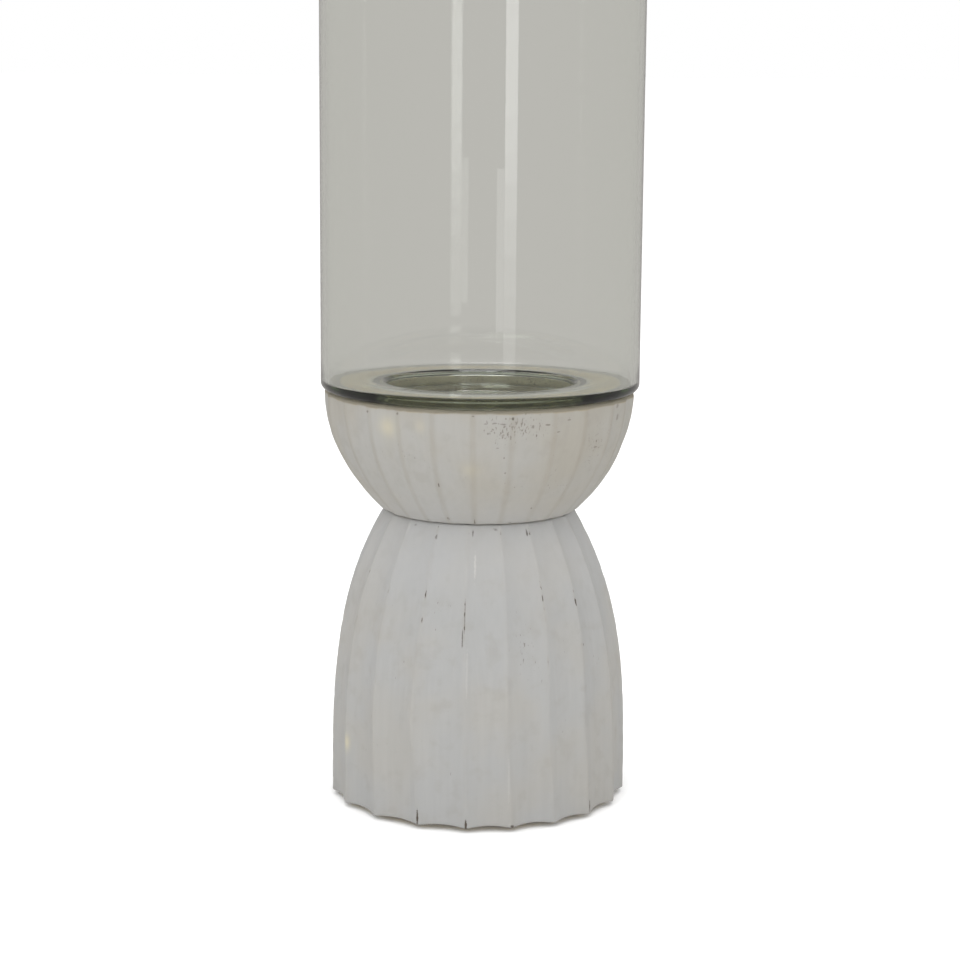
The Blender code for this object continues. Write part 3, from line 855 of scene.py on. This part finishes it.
def bare_beech():
    made, tree, shader, place = new_material("bare_beech")
    fleck = noise(tree, place, 900, 3, (1, 1, 0.12))
    colour = mix(tree, fleck, (0.42, 0.27, 0.14), (0.66, 0.48, 0.30))
    tree.links.new(colour, shader.inputs["Base Color"])
    shader.inputs["Roughness"].default_value = 0.65
    bump(tree, shader, fleck, 0.08 * MM)
    return made


# ---------------------------------------------------------------- assembly

def fit(piece, body, slot, material, *nodes):
    """Puts a piece on its body, with its finish, in place of the CAD nodes it stands for."""
    piece.data.materials.clear()
    piece.data.materials.append(material)
    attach(piece, body)
    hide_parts(*nodes)


def finish_node(name, material):
    """Gives a CAD node that stays its finish."""
    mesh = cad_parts[name].data
    mesh.materials.clear()
    mesh.materials.append(material)


def build_lantern():
    pedestal_paint = whitewash(
        "pedestal_whitewash", cool=(0.391, 0.393, 0.390), warm=(0.398, 0.391, 0.373), right_shade=0.04,
        painted_light_from=95 * MM, painted_light_to=125 * MM, pore_amount=0.10, pore_length=0.22, arris_dark=0.04,
        nicks=PEDESTAL_NICKS, glints=PEDESTAL_GLINTS, base=PEDESTAL_BOTTOM, radius=PEDESTAL_RADIUS,
    )
    bowl_paint = whitewash(
        "bowl_whitewash", cool=(0.405, 0.400, 0.382), warm=(0.397, 0.381, 0.345), right_shade=0.20,
        painted_light_from=162 * MM, painted_light_to=138 * MM, pore_amount=0.16, pore_length=0.5, arris_dark=0.20,
        nicks=BOWL_NICKS, glints=[], base=BOWL_BOTTOM, radius=BOWL_RADIUS,
    )
    fit(build_pedestal(), "foot", "pedestal_wood", pedestal_paint, "wood_pedestal")
    fit(build_bowl(), "foot", "bowl_wood", bowl_paint, "wood_bowl")
    fit(build_glass(), "hurricane", "glass", clear_glass(), "glass_hurricane")
    fit(build_cork(), "seat", "cork", pressed_cork(), "seat_cork")
    rubber = moulded_rubber()
    for number in range(1, 5):
        fit(build_pad(number), "foot", "rubber", rubber, f"foot_pad_{number}")
    steel = zinc_steel()
    for name in ("clamp_bolt", "flat_washer", "spring_washer"):
        finish_node(name, steel)
    finish_node("insert_nut", turned_brass())
    beech = bare_beech()
    for name in ("locating_dowel_1", "locating_dowel_2"):
        finish_node(name, beech)


# ---------------------------------------------------------------- studio

CAMERA_DISTANCE = 1.055  # from the lantern's axis
CAMERA_HEIGHT = 0.3421
CAMERA_AZIMUTH = math.radians(-3.5)
CAMERA_PITCH = math.radians(10.25)
CAMERA_ROLL = 0.0075
CAMERA_YAW = 0.00027
LENS = 84.6
AMBIENT_SIDE = (0.74, 0.74, 0.74)
AMBIENT_TOP = (1.25, 1.25, 1.25)
AMBIENT_RISE = (0.1, 1.0)  # sines of the angles above the horizon where side turns into top
BACKDROP_LOW = (0.535, 0.518, 0.500)
BACKDROP_HIGH = (0.16, 0.157, 0.150)
BACKDROP_RISE = (0.26, 0.40)  # and those where the backdrop's low colour turns into its high one
FLOOR_PALE = (0.96, 0.96, 0.96)
FLOOR_GREY = (0.75, 0.74, 0.72)
FLOOR_LIFT = 0.06
FLOOR_SIZE = 300.0
KEY_SIZE = 1.0
KEY_DISTANCE = 2.2
KEY_ELEVATION = math.radians(42)
KEY_AZIMUTH = math.radians(-22)
KEY_RADIANCE = 2.5
CEILING_SIZE = 1.0
CEILING_HEIGHT = 2.3
CEILING_RADIANCE = 5.0

# The tall window at the front right, dimmer towards its sill: (from, to, radiance), heights in metres.
WINDOW_STEPS = [
    (0.30, 1.60, 2.25), (0.265, 0.30, 2.05), (0.235, 0.265, 1.85), (0.20, 0.235, 1.5), (0.165, 0.20, 1.25),
    (0.125, 0.165, 1.0), (0.09, 0.125, 0.85), (0.055, 0.09, 0.7),
]
WINDOW_AZIMUTH_DEG = 19.8
WINDOW_WIDTH = 0.19
WINDOW_DISTANCE = 1.3

# A shorter, dimmer pane beside it, nearer the camera: again (from, to, radiance).
SIDE_PANE_AZIMUTH_DEG = 12.8
SIDE_PANE_WIDTH = 0.12
SIDE_PANE = (0.09, 0.25, 0.8)


def build_camera():
    data = bpy.data.cameras.new("camera")
    data.lens = LENS
    data.sensor_width = 36.0
    data.clip_start = 0.05
    camera = bpy.data.objects.new("camera", data)
    bpy.context.scene.collection.objects.link(camera)
    x = CAMERA_DISTANCE * math.sin(CAMERA_AZIMUTH)
    y = -CAMERA_DISTANCE * math.cos(CAMERA_AZIMUTH)
    camera.location = (x, y, CAMERA_HEIGHT)
    turn = Matrix.Rotation(CAMERA_AZIMUTH - CAMERA_YAW, 4, "Z")
    tilt = Matrix.Rotation(math.pi / 2 - CAMERA_PITCH, 4, "X")
    roll = Matrix.Rotation(CAMERA_ROLL, 4, "Z")
    camera.matrix_world = Matrix.Translation(camera.location) @ turn @ tilt @ roll
    bpy.context.scene.camera = camera


def behind_glass(tree):
    """1 for what is seen in or through the glass, where the studio is greyer than its sweep."""
    path = add(tree, "ShaderNodeLightPath")
    seen = maths(tree, "MAXIMUM", path.outputs["Is Transmission Ray"], path.outputs["Is Glossy Ray"])
    first = maths(tree, "LESS_THAN", path.outputs["Diffuse Depth"], 0.5)
    return maths(tree, "MULTIPLY", seen, first)


def build_world():
    world = bpy.data.worlds.new("studio")
    world.use_nodes = True
    tree = world.node_tree
    background = tree.nodes["Background"]
    path = add(tree, "ShaderNodeLightPath")
    direction = add(tree, "ShaderNodeTexCoord").outputs["Generated"]
    rise = add(tree, "ShaderNodeSeparateXYZ", Vector=direction).outputs["Z"]
    ambient = mix(tree, ramp(tree, rise, *AMBIENT_RISE), AMBIENT_SIDE, AMBIENT_TOP)
    base = mix(tree, path.outputs["Is Camera Ray"], ambient, (1.0, 1.0, 1.0))
    backdrop = mix(tree, ramp(tree, rise, *BACKDROP_RISE), BACKDROP_LOW, BACKDROP_HIGH)
    colour = mix(tree, behind_glass(tree), base, backdrop)
    tree.links.new(colour, background.inputs["Color"])
    bpy.context.scene.world = world


def build_floor():
    mesh = bpy.data.meshes.new("floor")
    builder = bmesh.new()
    bmesh.ops.create_grid(builder, x_segments=4, y_segments=4, size=FLOOR_SIZE / 2)
    builder.to_mesh(mesh)
    builder.free()
    floor = bpy.data.objects.new("floor", mesh)
    bpy.context.scene.collection.objects.link(floor)
    made, tree, shader, _ = new_material("studio_floor")
    camera_ray = add(tree, "ShaderNodeLightPath").outputs["Is Camera Ray"]
    tree.links.new(mix(tree, camera_ray, FLOOR_GREY, FLOOR_PALE), shader.inputs["Base Color"])
    grey = add(tree, "ShaderNodeEmission", Color=BACKDROP_LOW)
    either = add(tree, "ShaderNodeMixShader")
    tree.links.new(behind_glass(tree), either.inputs[0])
    tree.links.new(shader.outputs[0], either.inputs[1])
    tree.links.new(grey.outputs[0], either.inputs[2])
    tree.links.new(either.outputs[0], tree.nodes["Material Output"].inputs["Surface"])
    # A touch of glow, for the camera only, so that the sweep burns out to white as in a catalogue.
    feed(tree, shader.inputs["Emission Color"], (1.0, 1.0, 1.0))
    tree.links.new(maths(tree, "MULTIPLY", camera_ray, FLOOR_LIFT), shader.inputs["Emission Strength"])
    shader.inputs["Roughness"].default_value = 0.9
    shader.inputs["Specular IOR Level"].default_value = 0.0
    mesh.materials.append(made)


def build_softbox(name, azimuth_deg, width, low_z, high_z, radiance):
    """An upright light in front of the lantern, azimuth_deg round from the camera."""
    height = high_z - low_z
    data = bpy.data.lights.new(name, "AREA")
    data.shape = "RECTANGLE"
    data.size = width
    data.size_y = height
    data.energy = radiance * math.pi * width * height
    light = bpy.data.objects.new(name, data)
    bpy.context.scene.collection.objects.link(light)
    azimuth = CAMERA_AZIMUTH + math.radians(azimuth_deg)
    x = WINDOW_DISTANCE * math.sin(azimuth)
    y = -WINDOW_DISTANCE * math.cos(azimuth)
    light.location = (x, y, (low_z + high_z) / 2)
    light.rotation_euler = (math.pi / 2, 0, azimuth)


def square_light(name, size, radiance):
    data = bpy.data.lights.new(name, "AREA")
    data.shape = "SQUARE"
    data.size = size
    data.energy = radiance * math.pi * size**2
    light = bpy.data.objects.new(name, data)
    bpy.context.scene.collection.objects.link(light)
    return light


def build_key():
    """A big soft light high on the front left, which models the flutes."""
    light = square_light("key", KEY_SIZE, KEY_RADIANCE)
    reach = KEY_DISTANCE * math.cos(KEY_ELEVATION)
    azimuth = CAMERA_AZIMUTH + KEY_AZIMUTH
    height = KEY_DISTANCE * math.sin(KEY_ELEVATION)
    light.location = (reach * math.sin(azimuth), -reach * math.cos(azimuth), height)
    light.rotation_euler = (math.pi / 2 - KEY_ELEVATION, 0, azimuth)


def build_ceiling():
    """A soft light overhead, which draws bright lines on the glass's rounded edges."""
    light = square_light("ceiling", CEILING_SIZE, CEILING_RADIANCE)
    light.location = (0.0, 0.0, CEILING_HEIGHT)


def build_studio():
    build_camera()
    build_world()
    build_floor()
    for number, step in enumerate(WINDOW_STEPS, start=1):
        build_softbox(f"window_{number}", WINDOW_AZIMUTH_DEG, WINDOW_WIDTH, *step)
    build_softbox("window_side", SIDE_PANE_AZIMUTH_DEG, SIDE_PANE_WIDTH, *SIDE_PANE)
    build_key()
    build_ceiling()
    bpy.context.scene.view_settings.view_transform = "Standard"


build_studio()
build_lantern()
